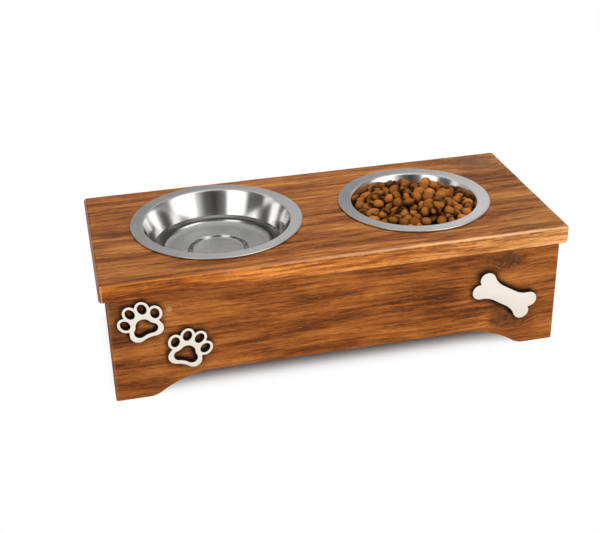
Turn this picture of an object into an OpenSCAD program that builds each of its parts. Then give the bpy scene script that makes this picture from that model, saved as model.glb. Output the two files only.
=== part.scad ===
// Raised dog feeder: a low pine box with an arched front, a thick top board with two
// round holes, and two steel bowls that hang in the holes by their flat rims.
// Millimetres. The feeder stands on z = 0, its front faces -Y, and its centre is x = 0, y = 0.

/* [Top board] */
// Length of the top board, left to right
board_length = 430; // [410:1:520]
// Depth of the top board, front to back
board_depth = 190; // [186:1:260]
// Thickness of the top board
board_thick = 18; // [14:0.5:24]
// Height of the top board's upper face above the floor
stand_height = 120; // [115:1:200]
// Rounding of all the top board's edges
board_round = 3; // [1:0.5:5]
// Overhang of the top board past the front panel at the left end
overhang_left = 5.3; // [1:0.1:12]
// Overhang of the top board past the front panel at the right end
overhang_right = 6.9; // [1:0.1:12]
// Overhang of the top board past the box at the front
overhang_front = 3; // [3:0.1:8]
// Overhang of the top board past the box at the back
overhang_back = 3; // [1:0.1:8]

/* [Box] */
// Thickness of the front and back panels
panel_thick = 15; // [12:0.5:16]
// Thickness of the two end panels
end_thick = 10; // [8:0.5:14]
// Distance that the box is set in from the front panel's ends
end_inset = 5; // [0:0.5:6]
// Rounding of the long panels' upright outer edges
panel_round = 2; // [0.5:0.5:4]
// Length of the flat of the left foot along the floor
foot_left = 30.2; // [20:0.1:50]
// Length of the flat of the right foot along the floor
foot_right = 29.5; // [20:0.1:50]
// Height of the arch under the front and back panels
arch_height = 19.7; // [16:0.1:30]
// Radius of the arch's shoulders
arch_shoulder = 87; // [50:1:120]
// Radius of the round between each foot and the arch
foot_round = 19; // [4:0.5:40]

/* [Fixings] */
// Width of the square corner blocks
block_size = 18; // [16:0.5:22]
// Height of the corner blocks
block_height = 70; // [60:1:78]
// Width of the square battens under the top board
batten_size = 16; // [14:0.5:20]
// Length of the screws into the front and back panels and the top board
screw_length = 28; // [26:0.5:29]
// Length of the screws into the end panels
end_screw_length = 24; // [21:0.5:25]
// Diameter of the screws' shanks
screw_shank = 3.5; // [3:0.1:4]
// Diameter of the screws' heads
screw_head = 7; // [6:0.1:8]
// Distance of each block's outer screws from its ends
screw_end_gap = 12; // [8:1:14]
// Distance along a block from one screw to the crossing one
screw_step = 12; // [9:1:13]
// Distance of the battens' end screws from the battens' ends
batten_end_gap = 9; // [7:1:14]

/* [Bowls] */
// Left bowl's centre, measured left from the board's centre
left_bowl_x = 96.1; // [90:0.1:110]
// Left bowl's centre, measured back from the board's centre
left_bowl_y = 5.3; // [-6:0.1:6]
// Outer radius of the left bowl's rim
left_rim_radius = 80.9; // [70:0.1:84]
// Width of the left bowl's flat rim
left_rim_width = 9.6; // [8:0.1:12]
// Right bowl's centre, measured right from the board's centre
right_bowl_x = 96.2; // [90:0.1:110]
// Right bowl's centre, measured back from the board's centre
right_bowl_y = 0; // [-10:0.1:10]
// Outer radius of the right bowl's rim
right_rim_radius = 73.2; // [66:0.1:80]
// Width of the right bowl's flat rim
right_rim_width = 10.6; // [8:0.1:12]
// Thickness of the steel
bowl_wall = 0.8; // [0.6:0.1:1.2]
// Radius of the rolled bead round the rim
bead_radius = 1; // [0.9:0.1:1.5]
// Radius of the bend from the rim into the wall
bend_round = 2; // [1.6:0.1:2.4]
// Lean of the wall from upright, in degrees
wall_lean = 19; // [12:1:22]
// Depth of the floor below the top of the rim
floor_depth = 36.8; // [30:0.1:55]
// Radius of the round between wall and floor
floor_round = 16; // [10:0.5:18]
// Distance from the floor's edge in to the sunken middle
sump_inset = 17.3; // [10:0.1:20]
// Width of the slope round the sunken middle
sump_slope = 4; // [2:0.1:6]
// Drop from the floor to the sunken middle
sump_drop = 3.7; // [2:0.1:6]
// Clearance between each bowl's wall and its hole
bowl_clearance = 0.8; // [0.4:0.1:1.5]
// Gap between the rim's bead and the top board
seat_gap = 0.3; // [0.2:0.05:0.5]

/* [Badges] */
// Thickness of the plywood badges
badge_thick = 3; // [2:0.1:3]
// Upper paw, from the panel's left end to the middle of the toes
upper_paw_end = 26.5; // [23:0.1:32]
// Upper paw, from the top board down to the middle of the toes
upper_paw_drop = 15.4; // [14:0.1:24]
// Upper paw's turn to the left, in degrees
upper_paw_turn = 18.5; // [-30:0.5:30]
// Lower paw, from the panel's left end to the middle of the toes
lower_paw_end = 71.2; // [68:0.1:90]
// Lower paw, from the top board down to the middle of the toes
lower_paw_drop = 47.9; // [40:0.1:50]
// Lower paw's turn to the right, in degrees
lower_paw_turn = 20.8; // [-30:0.1:30]
// Long half axis of a toe's hole
toe_long = 5.2; // [4:0.1:6]
// Short half axis of a toe's hole
toe_short = 4; // [3:0.1:5]
// Width of the wood round a toe's hole
toe_ring = 2.4; // [1.5:0.1:3]
// Bone's centre, from the panel's right end
bone_end = 52.6; // [40:0.1:80]
// Bone's centre, down from the top board
bone_drop = 46.2; // [34:0.1:48]
// Bone's fall to the right, in degrees
bone_fall = 31.7; // [0:0.1:40]
// Length of the bone
bone_length = 64; // [50:0.5:72]
// Width of the bone's shaft
bone_shaft = 16.6; // [12:0.1:18]
// Width of the bone across its knuckles
bone_width = 28.6; // [26:0.1:32]
// Radius of the bone's knuckles
bone_knuckle = 7.5; // [7:0.1:9]
// Radius of the blend from the shaft to the knuckles
bone_blend = 20; // [14:1:26]

/* [Hidden] */
$fn = 64;

top_wood = [0.62, 0.36, 0.16];
side_wood = [0.48, 0.25, 0.10];
plain_wood = [0.78, 0.60, 0.38];
badge_wood = [0.93, 0.88, 0.81];
steel = [0.74, 0.74, 0.74];
zinc = [0.62, 0.63, 0.65];

cut = 1;                 // how far a cutter runs past the face that it cuts
screw_fit = 0.05;        // clearance round a screw in its hole
tip_gap = 0.5;           // room in front of a screw's point

// A paw's toes: place across and up from their middle, and lean to the left in degrees
toes = [[-13.8, -4.2, 19], [-5.8, 4.2, 11], [5.4, 4.2, 1.5], [14.1, -4.2, -7.7]];

// A palm's outline: its top, its left lobe and its right lobe, each as its place, its radius and
// the radius of the dip that leads to the next
palm_edge = [[[0.7, -10.1], 13.3, 57], [[-7.2, -17.8], 7.5, 21], [[8.7, -18], 7.4, 32]];
palm_hole = [[[0.2, -11.6], 6.9, 5.6], [[-5, -16.3], 5.3, 16], [[6.6, -16.6], 4.9, 11]];

// Planes of the box
box_top = stand_height - board_thick;
box_left = overhang_left - board_length / 2;
box_right = board_length / 2 - overhang_right;
box_front = overhang_front - board_depth / 2;
box_back = board_depth / 2 - overhang_back;
inner_left = box_left + end_inset + end_thick;
inner_right = box_right - end_inset - end_thick;
inner_front = box_front + panel_thick;
inner_back = box_back - panel_thick;

// Screw heights on a corner block: two go into the long panel, two into the end panel
block_low = box_top - block_height;
long_heights = [block_low + screw_end_gap, box_top - screw_end_gap];
end_heights = [long_heights[0] + screw_step, long_heights[1] - screw_step];
block_left = inner_left + block_size / 2;
block_right = inner_right - block_size / 2;
block_front = inner_front + block_size / 2;
block_back = inner_back - block_size / 2;

// Screws of the battens, along Y
batten_front = inner_front + block_size;
batten_back = inner_back - block_size;
batten_middle = (batten_front + batten_back) / 2;
batten_reach = (batten_back - batten_front) / 2 - batten_end_gap;
batten_height = box_top - batten_size / 2;

// Places of the screws: the middle of the head's face, then the turn that points the screw
front_screw_places = [for (x = [block_left, block_right]) for (z = long_heights)
    [[x, inner_front + block_size, z], [-90, 0, 0]]];
back_screw_places = [for (x = [block_left, block_right]) for (z = long_heights)
    [[x, inner_back - block_size, z], [90, 0, 0]]];
left_screw_places = concat(
    [for (y = [block_front, block_back]) for (z = end_heights)
        [[inner_left + block_size, y, z], [0, 90, 0]]],
    [for (y = [-1, 1]) [[inner_left + batten_size, batten_middle + y * batten_reach / 2, batten_height],
        [0, 90, 0]]]);
right_screw_places = concat(
    [for (y = [block_front, block_back]) for (z = end_heights)
        [[inner_right - block_size, y, z], [0, -90, 0]]],
    [for (y = [-1, 1]) [[inner_right - batten_size, batten_middle + y * batten_reach / 2, batten_height],
        [0, -90, 0]]]);
top_screw_places = [for (x = [inner_left + batten_size / 2, inner_right - batten_size / 2])
    for (y = [-1, 0, 1]) [[x, batten_middle + y * batten_reach, box_top - batten_size], [180, 0, 0]]];

// Radius of a bowl's outer wall just under the bend of its rim
function wall_radius(rim_radius, rim_width) =
    rim_radius - rim_width - (bend_round - bowl_wall) * cos(wall_lean);

function reversed(points) = [for (i = [len(points) - 1 : -1 : 0]) points[i]];

function without_first(points) = [for (i = [1 : len(points) - 1]) points[i]];

function without_ends(points) = [for (i = [1 : len(points) - 2]) points[i]];

// Direction of an arrow, in degrees
function heading(arrow) = atan2(arrow[1], arrow[0]);

// Points on an arc round a centre
function arc(centre, radius, from, to, steps) =
    [for (i = [0 : steps]) let (a = from + (to - from) * i / steps) centre + radius * [cos(a), sin(a)]];

// Points on an ellipse
function oval(half_wide, half_high) =
    [for (a = [0 : 10 : 350]) [half_wide * cos(a), half_high * sin(a)]];

// Centre of the dip that touches two lobes from outside and leads from the first to the second
function dip_centre(lobe, next) =
    let (
        gap = next[0] - lobe[0],
        reach = lobe[1] + lobe[2],
        along = (reach * reach - pow(next[1] + lobe[2], 2) + gap * gap) / (2 * norm(gap)),
        way = gap / norm(gap)
    )
    lobe[0] + along * way + sqrt(reach * reach - along * along) * [way[1], -way[0]];

// A paw's palm, as points, the left way round: three lobes with a dip after each
function palm(lobes) =
    let (dips = [for (i = [0 : 2]) dip_centre(lobes[i], lobes[(i + 1) % 3])])
    [for (i = [0 : 2])
        let (
            lobe = lobes[i],
            lobe_from = heading(dips[(i + 2) % 3] - lobe[0]),
            lobe_to = heading(dips[i] - lobe[0]),
            dip_from = heading(lobe[0] - dips[i]),
            dip_to = heading(lobes[(i + 1) % 3][0] - dips[i])
        )
        each concat(
            arc(lobe[0], lobe[1], lobe_from, lobe_from + (lobe_to - lobe_from + 720) % 360, 12),
            without_ends(arc(dips[i], lobe[2], dip_from, dip_from - (dip_from - dip_to + 720) % 360, 6))
        )];

// A quarter of the bone, as points from the middle of the shaft to the notch at the end
function bone_quarter() =
    let (
        knuckle = [bone_length / 2 - bone_knuckle, bone_width / 2 - bone_knuckle],
        blend_y = bone_shaft / 2 + bone_blend,
        reach = bone_blend + bone_knuckle,
        blend_x = knuckle[0] - sqrt(reach * reach - pow(blend_y - knuckle[1], 2)),
        meet = 270 + acos((blend_y - knuckle[1]) / reach)
    )
    concat(
        arc([blend_x, blend_y], bone_blend, 270, meet, 6),
        without_first(arc(knuckle, bone_knuckle, meet - 180, -asin(knuckle[1] / bone_knuckle), 18))
    );

// A board with all its edges and corners rounded, standing on z = 0
module rounded_board(length, depth, thick, round) {
    x = length / 2 - round;
    y = depth / 2 - round;
    translate([-x, -y, 0]) cube([2 * x, 2 * y, thick]);
    translate([-x - round, -y, round]) cube([2 * x + 2 * round, 2 * y, thick - 2 * round]);
    translate([-x, -y - round, round]) cube([2 * x, 2 * y + 2 * round, thick - 2 * round]);
    for (sx = [-1, 1]) for (sy = [-1, 1])
        translate([sx * x, sy * y, round]) cylinder(r = round, h = thick - 2 * round);
    for (z = [round, thick - round]) {
        for (sy = [-1, 1])
            translate([-x, sy * y, z]) rotate([0, 90, 0]) cylinder(r = round, h = 2 * x);
        for (sx = [-1, 1])
            translate([sx * x, -y, z]) rotate([-90, 0, 0]) cylinder(r = round, h = 2 * y);
        for (sx = [-1, 1]) for (sy = [-1, 1])
            translate([sx * x, sy * y, z]) sphere(r = round);
    }
}

// Countersunk screw with a cross recess; its head's face is at the origin and it points to -Z
module screw_body(length, grow) {
    head_drop = (screw_head - screw_shank) / 2;
    translate([0, 0, -head_drop])
        cylinder(r1 = screw_shank / 2 + grow, r2 = screw_head / 2 + grow, h = head_drop);
    translate([0, 0, -length])
        cylinder(r = screw_shank / 2 + grow, h = length - head_drop);
}

module screw(length) {
    tip = screw_shank;
    recess = screw_head * 0.55;
    difference() {
        screw_body(length - tip, 0);
        for (a = [0, 90])
            rotate([0, 0, a]) translate([-recess / 2, -screw_shank / 8, -screw_shank / 3])
                cube([recess, screw_shank / 4, screw_shank]);
    }
    translate([0, 0, -length])
        cylinder(r1 = screw_shank / 20, r2 = screw_shank / 2, h = tip);
}

module screws(places, length) {
    for (place = places)
        translate(place[0]) rotate(place[1]) screw(length);
}

module screw_holes(places, length) {
    for (place = places)
        translate(place[0]) rotate(place[1]) screw_body(length + tip_gap, screw_fit);
}

// One end of the arch, as points from the floor up: the foot's round, then the shoulder
function arch_end() =
    let (
        radii = foot_round + arch_shoulder,
        lean = acos(1 - arch_height / radii),
        shoulder = [radii * sin(lean), arch_height - arch_shoulder]
    )
    concat(
        [[0, -cut]],
        arc([0, foot_round], foot_round, -90, lean - 90, 8),
        without_first(arc(shoulder, arch_shoulder, 90 + lean, 90, 20))
    );

// Region under the arch, seen from the front
module arch_outline() {
    polygon(concat(
        [for (p = arch_end()) [box_left + foot_left + p[0], p[1]]],
        [for (p = reversed(arch_end())) [box_right - foot_right - p[0], p[1]]]
    ));
}

// Front or back panel: its outer face is at y = 0 and its thickness runs to +Y
module long_panel(inset) {
    left = box_left + inset;
    right = box_right - inset;
    difference() {
        union() {
            translate([left + panel_round, 0, 0])
                cube([right - left - 2 * panel_round, panel_thick, box_top]);
            translate([left, panel_round, 0])
                cube([right - left, panel_thick - panel_round, box_top]);
            for (x = [left + panel_round, right - panel_round])
                translate([x, panel_round, 0]) cylinder(r = panel_round, h = box_top);
        }
        translate([0, panel_thick + cut, 0]) rotate([90, 0, 0])
            linear_extrude(panel_thick + 2 * cut) arch_outline();
    }
}

module end_panel(x, places) {
    difference() {
        translate([x, inner_front, 0]) cube([end_thick, inner_back - inner_front, box_top]);
        screw_holes(places, end_screw_length);
    }
}

module corner_block(x, y) {
    difference() {
        translate([x - block_size / 2, y - block_size / 2, block_low])
            cube([block_size, block_size, block_height]);
        screw_holes(front_screw_places, screw_length);
        screw_holes(back_screw_places, screw_length);
        screw_holes(left_screw_places, end_screw_length);
        screw_holes(right_screw_places, end_screw_length);
    }
}

module batten(x, side_places) {
    difference() {
        translate([x, batten_front, box_top - batten_size])
            cube([batten_size, batten_back - batten_front, batten_size]);
        screw_holes(side_places, end_screw_length);
        screw_holes(top_screw_places, screw_length);
    }
}

// Half section of a bowl: the steel sheet from the bead to the middle of the floor
module bowl_section(rim_radius, rim_width) {
    inward = [-cos(wall_lean), sin(wall_lean)];
    down = [-sin(wall_lean), -cos(wall_lean)];
    bend = [rim_radius - rim_width, -bend_round];
    wall_start = bend + bend_round * inward;
    run = (wall_start[1] + floor_depth - floor_round * (1 - sin(wall_lean))) / cos(wall_lean);
    floor_centre = wall_start + run * down + floor_round * inward;
    step = floor_centre[0] - sump_inset;
    mitre = bowl_wall * tan(atan2(sump_drop, sump_slope) / 2);
    inside = concat(
        [[rim_radius - bead_radius, 0]],
        arc(bend, bend_round, 90, 180 - wall_lean, 6),
        arc(floor_centre, floor_round, -wall_lean, -90, 10),
        [[step, -floor_depth], [step - sump_slope, -floor_depth - sump_drop],
            [0, -floor_depth - sump_drop]]
    );
    outside = concat(
        [[rim_radius - bead_radius, -bowl_wall]],
        arc(bend, bend_round - bowl_wall, 90, 180 - wall_lean, 6),
        arc(floor_centre, floor_round + bowl_wall, -wall_lean, -90, 10),
        [[step + mitre, -floor_depth - bowl_wall],
            [step + mitre - sump_slope, -floor_depth - sump_drop - bowl_wall],
            [0, -floor_depth - sump_drop - bowl_wall]]
    );
    polygon(concat(inside, reversed(outside)));
    translate([rim_radius - bead_radius, -bead_radius]) circle(r = bead_radius, $fn = 24);
}

module bowl(x, y, rim_radius, rim_width) {
    translate([x, y, stand_height + seat_gap + 2 * bead_radius])
        rotate_extrude($fn = 96) bowl_section(rim_radius, rim_width);
}

// Paw outline, with its toes' middle at the origin
module paw_outline() {
    difference() {
        union() {
            for (toe = toes) translate([toe[0], toe[1]]) rotate(toe[2])
                polygon(oval(toe_short + toe_ring, toe_long + toe_ring));
            polygon(palm(palm_edge));
        }
        for (toe = toes) translate([toe[0], toe[1]]) rotate(toe[2])
            polygon(oval(toe_short, toe_long));
        polygon(palm(palm_hole));
    }
}

// Bone outline, lying along X: four knuckles, and a shaft that flares into them
module bone_outline() {
    quarter = bone_quarter();
    upper = concat([for (p = reversed(quarter)) [-p[0], p[1]]], quarter);
    lower = [for (i = [len(upper) - 2 : -1 : 1]) [upper[i][0], -upper[i][1]]];
    polygon(concat(upper, lower));
}

// Puts an outline drawn from the front onto the front panel, as a badge
module badge(x, z) {
    translate([x, box_front, z]) rotate([90, 0, 0]) linear_extrude(badge_thick) children();
}

module top_board() {
    color(top_wood) difference() {
        translate([0, 0, box_top])
            rounded_board(board_length, board_depth, board_thick, board_round);
        translate([-left_bowl_x, left_bowl_y, box_top - cut])
            cylinder(r = wall_radius(left_rim_radius, left_rim_width) + bowl_clearance,
                h = board_thick + 2 * cut, $fn = 96);
        translate([right_bowl_x, right_bowl_y, box_top - cut])
            cylinder(r = wall_radius(right_rim_radius, right_rim_width) + bowl_clearance,
                h = board_thick + 2 * cut, $fn = 96);
        screw_holes(top_screw_places, screw_length);
    }
}

module front_panel() {
    color(side_wood) difference() {
        translate([0, box_front, 0]) long_panel(0);
        screw_holes(front_screw_places, screw_length);
    }
}

module back_panel() {
    color(side_wood) difference() {
        translate([0, box_back, 0]) mirror([0, 1, 0]) long_panel(end_inset);
        screw_holes(back_screw_places, screw_length);
    }
}

module left_side_panel() { color(side_wood) end_panel(box_left + end_inset, left_screw_places); }
module right_side_panel() { color(side_wood) end_panel(inner_right, right_screw_places); }

module front_left_block() { color(plain_wood) corner_block(block_left, block_front); }
module front_right_block() { color(plain_wood) corner_block(block_right, block_front); }
module back_left_block() { color(plain_wood) corner_block(block_left, block_back); }
module back_right_block() { color(plain_wood) corner_block(block_right, block_back); }

module left_batten() { color(plain_wood) batten(inner_left, left_screw_places); }
module right_batten() { color(plain_wood) batten(inner_right - batten_size, right_screw_places); }

module front_panel_screws() { color(zinc) screws(front_screw_places, screw_length); }
module back_panel_screws() { color(zinc) screws(back_screw_places, screw_length); }
module left_panel_screws() { color(zinc) screws(left_screw_places, end_screw_length); }
module right_panel_screws() { color(zinc) screws(right_screw_places, end_screw_length); }
module top_board_screws() { color(zinc) screws(top_screw_places, screw_length); }

module left_bowl() {
    color(steel) bowl(-left_bowl_x, left_bowl_y, left_rim_radius, left_rim_width);
}

module right_bowl() {
    color(steel) bowl(right_bowl_x, right_bowl_y, right_rim_radius, right_rim_width);
}

module upper_paw_badge() {
    color(badge_wood) badge(box_left + upper_paw_end, box_top - upper_paw_drop)
        rotate(upper_paw_turn) paw_outline();
}

module lower_paw_badge() {
    color(badge_wood) badge(box_left + lower_paw_end, box_top - lower_paw_drop)
        rotate(-lower_paw_turn) mirror([1, 0]) paw_outline();
}

module bone_badge() {
    color(badge_wood) badge(box_right - bone_end, box_top - bone_drop)
        rotate(-bone_fall) bone_outline();
}

top_board();
front_panel();
back_panel();
left_side_panel();
right_side_panel();
front_left_block();
front_right_block();
back_left_block();
back_right_block();
left_batten();
right_batten();
front_panel_screws();
back_panel_screws();
left_panel_screws();
right_panel_screws();
top_board_screws();
left_bowl();
right_bowl();
upper_paw_badge();
lower_paw_badge();
bone_badge();
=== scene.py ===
import math

import bmesh
import bpy
import numpy as np
from mathutils import Matrix, Vector


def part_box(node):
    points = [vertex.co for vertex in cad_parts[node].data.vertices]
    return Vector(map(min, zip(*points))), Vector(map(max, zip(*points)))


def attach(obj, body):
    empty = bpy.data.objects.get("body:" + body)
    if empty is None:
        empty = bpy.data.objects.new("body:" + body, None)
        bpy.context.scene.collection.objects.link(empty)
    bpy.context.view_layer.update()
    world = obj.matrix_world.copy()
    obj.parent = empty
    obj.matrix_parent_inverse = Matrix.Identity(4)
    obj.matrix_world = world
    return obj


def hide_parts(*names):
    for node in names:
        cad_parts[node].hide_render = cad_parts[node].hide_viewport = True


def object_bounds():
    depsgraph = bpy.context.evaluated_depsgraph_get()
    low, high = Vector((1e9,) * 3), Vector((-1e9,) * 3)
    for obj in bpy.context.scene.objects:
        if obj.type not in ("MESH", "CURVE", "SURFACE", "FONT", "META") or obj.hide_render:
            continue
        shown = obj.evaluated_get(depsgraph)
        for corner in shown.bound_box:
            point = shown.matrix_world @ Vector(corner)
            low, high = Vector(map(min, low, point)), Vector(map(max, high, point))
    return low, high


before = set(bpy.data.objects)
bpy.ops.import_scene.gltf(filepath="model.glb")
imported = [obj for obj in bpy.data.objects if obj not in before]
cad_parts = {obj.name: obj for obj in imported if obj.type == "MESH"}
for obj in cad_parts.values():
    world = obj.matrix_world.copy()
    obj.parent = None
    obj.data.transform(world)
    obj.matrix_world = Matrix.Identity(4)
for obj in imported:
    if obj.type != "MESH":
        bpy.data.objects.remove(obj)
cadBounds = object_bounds()
print("frame loaded:", len(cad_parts), "nodes")

# Lengths in this script are millimetres, and become metres when a mesh is made
perMetre = 1000.0


# Lowest and highest corner of a CAD node, in millimetres
def nodeBox(node):
    low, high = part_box(node)
    return np.array(low) * perMetre, np.array(high) * perMetre


# Smooth waves that stay the same at the same place: a sum of sines along both directions
def waves(u, v, length, seed):
    total = 0.0
    for k in range(4):
        turn = seed * 1.7 + k * 2.4
        size = length / (1 + 0.7 * k)
        total = total + np.sin((u * math.cos(turn) + v * math.sin(turn)) / size * 2 * math.pi + seed * 3 + k)
    return total / 4


# Eases from 0 to 1 between two values
def ease(value, low, high):
    t = np.clip((value - low) / (high - low), 0, 1)
    return t * t * (3 - 2 * t)


# Vectors made one long
def unit(v):
    return v / np.linalg.norm(v, axis=1)[:, None]


# Meshes

# Quads of a grid of points, rows by columns; a closed direction joins its last line to its first
def gridFaces(rows, columns, closeRows=False, closeColumns=False):
    i, j = np.meshgrid(np.arange(rows if closeRows else rows - 1),
                       np.arange(columns if closeColumns else columns - 1), indexing="ij")
    nextI, nextJ = (i + 1) % rows, (j + 1) % columns
    return np.stack([i * columns + j, nextI * columns + j,
                     nextI * columns + nextJ, i * columns + nextJ], -1).reshape(-1, 4)


# Merges doubles, turns the faces outwards, and marks edges sharper than an angle
def finishMesh(mesh, sharpAngle, mergeGap=0.004):
    work = bmesh.new()
    work.from_mesh(mesh)
    bmesh.ops.remove_doubles(work, verts=work.verts, dist=mergeGap / perMetre)
    bmesh.ops.dissolve_degenerate(work, edges=work.edges, dist=mergeGap / perMetre / 4)
    bmesh.ops.recalc_face_normals(work, faces=work.faces)
    work.to_mesh(mesh)
    work.free()
    mesh.polygons.foreach_set("use_smooth", np.ones(len(mesh.polygons), bool))
    mesh.set_sharp_from_angle(angle=math.radians(sharpAngle))
    mesh.update()


def meshOf(name, points, faces):
    mesh = bpy.data.meshes.new(name)
    mesh.from_pydata((points / perMetre).tolist(), [], faces.tolist())
    return mesh


# Makes an object of a mesh, a lamp or a camera and puts it into the scene
def intoScene(name, data):
    item = bpy.data.objects.new(name, data)
    bpy.context.scene.collection.objects.link(item)
    return item


# Puts points and faces, and numbers that are kept at the points, into a new piece on a body
def makePiece(name, points, faces, material, body, replaced=(), values=None, sharpAngle=40):
    mesh = meshOf(name, points, faces)
    for key, array in (values or {}).items():
        mesh.attributes.new(key, "FLOAT", "POINT").data.foreach_set("value", array.astype(np.float32))
    finishMesh(mesh, sharpAngle)
    return placePiece(name, mesh, material, body, replaced)


def placePiece(name, mesh, material, body, replaced):
    mesh.materials.clear()
    mesh.materials.append(material)
    piece = intoScene(name, mesh)
    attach(piece, body)
    if replaced:
        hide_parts(*replaced)
    return piece


# Materials

# A number, vector or colour in a material; arithmetic on it adds Math nodes
class Reading:
    def __init__(self, finish, socket):
        self.finish, self.socket = finish, socket

    def math(self, operation, *others):
        return self.finish.node("ShaderNodeMath", {"operation": operation},
                                {0: self, **{k + 1: v for k, v in enumerate(others)}})

    def __add__(self, other):
        return self.math("ADD", other)

    def __sub__(self, other):
        return self.math("SUBTRACT", other)

    def __rsub__(self, other):
        return (self * -1).math("ADD", other)

    def __mul__(self, other):
        return self.math("MULTIPLY", other)

    def __truediv__(self, other):
        return self.math("DIVIDE", other)

    __radd__ = __add__
    __rmul__ = __mul__

    def size(self):
        return self.math("ABSOLUTE")

    def most(self, other):
        return self.math("MAXIMUM", other)

    # Length of a flat vector whose parts are this reading and another
    def reach(self, other):
        return (self * self + other * other).math("SQRT")

    # Turn of that vector about its start, in whole turns from -0.5 to 0.5
    def turn(self, other):
        return self.math("ARCTAN2", other) / (2 * math.pi)

    # Eases from 0 to 1 between two values
    def ease(self, low, high):
        return self.finish.node("ShaderNodeMapRange", {"interpolation_type": "SMOOTHSTEP"},
                                {0: self, 1: low, 2: high, 3: 0.0, 4: 1.0})


# A material, or the world's light, and the one method that adds any node to it
class Finish:
    def __init__(self, name, world=None):
        self.owner = world or bpy.data.materials.new(name)
        self.owner.use_nodes = True
        self.tree = self.owner.node_tree
        self.tree.nodes.clear()
        self.output = self.tree.nodes.new("ShaderNodeOutputWorld" if world else "ShaderNodeOutputMaterial")

    def node(self, kind, settings=None, sockets=None, out=0):
        made = self.tree.nodes.new(kind)
        for key, value in (settings or {}).items():
            if key == "stops":
                self.setStops(made.color_ramp, value)
            else:
                setattr(made, key, value)
        for key, value in (sockets or {}).items():
            if isinstance(value, Reading):
                self.tree.links.new(value.socket, made.inputs[key])
            elif value is not None:
                made.inputs[key].default_value = value
        return Reading(self, made.outputs[out])

    def setStops(self, ramp, stops):
        while len(ramp.elements) < len(stops):
            ramp.elements.new(0.5)
        for element, (at, colour) in zip(ramp.elements, stops):
            element.position = at
            element.color = (*colour, 1)

    # The object's own place, in millimetres
    def place(self):
        spot = self.node("ShaderNodeTexCoord", out="Object")
        wide = self.node("ShaderNodeVectorMath", {"operation": "SCALE"}, {0: spot, "Scale": perMetre})
        return tuple(self.node("ShaderNodeSeparateXYZ", sockets={0: wide}, out=k) for k in range(3))

    # Cloudy noise over three readings, about 0.5 in the middle
    def noise(self, x, y, z, detail=2.0, rough=0.5):
        spot = self.node("ShaderNodeCombineXYZ", sockets={0: x, 1: y, 2: z})
        return self.node("ShaderNodeTexNoise", sockets={
            "Vector": spot, "Scale": 1.0, "Detail": detail, "Roughness": rough})

    # A number that the mesh keeps at its points
    def kept(self, name):
        return self.node("ShaderNodeAttribute", {"attribute_name": name}, out="Fac")

    def mix(self, share, first, second, blend="MIX"):
        pad = [tuple(c) + (1,) if isinstance(c, tuple) else c for c in (first, second)]
        return self.node("ShaderNodeMix", {"data_type": "RGBA", "blend_type": blend},
                         {0: share, 6: pad[0], 7: pad[1]}, out=2)

    def ramp(self, value, stops):
        return self.node("ShaderNodeValToRGB", {"stops": stops}, {0: value})

    def bump(self, height, strength, distance):
        return self.node("ShaderNodeBump", sockets={
            "Height": height, "Strength": strength, "Distance": distance / perMetre})

    def principled(self, **sockets):
        names = {key.replace("_", " "): value for key, value in sockets.items()}
        return self.show(self.node("ShaderNodeBsdfPrincipled", sockets=names))

    def show(self, shader):
        self.tree.links.new(shader.socket, self.output.inputs[0])
        return self.owner


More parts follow.
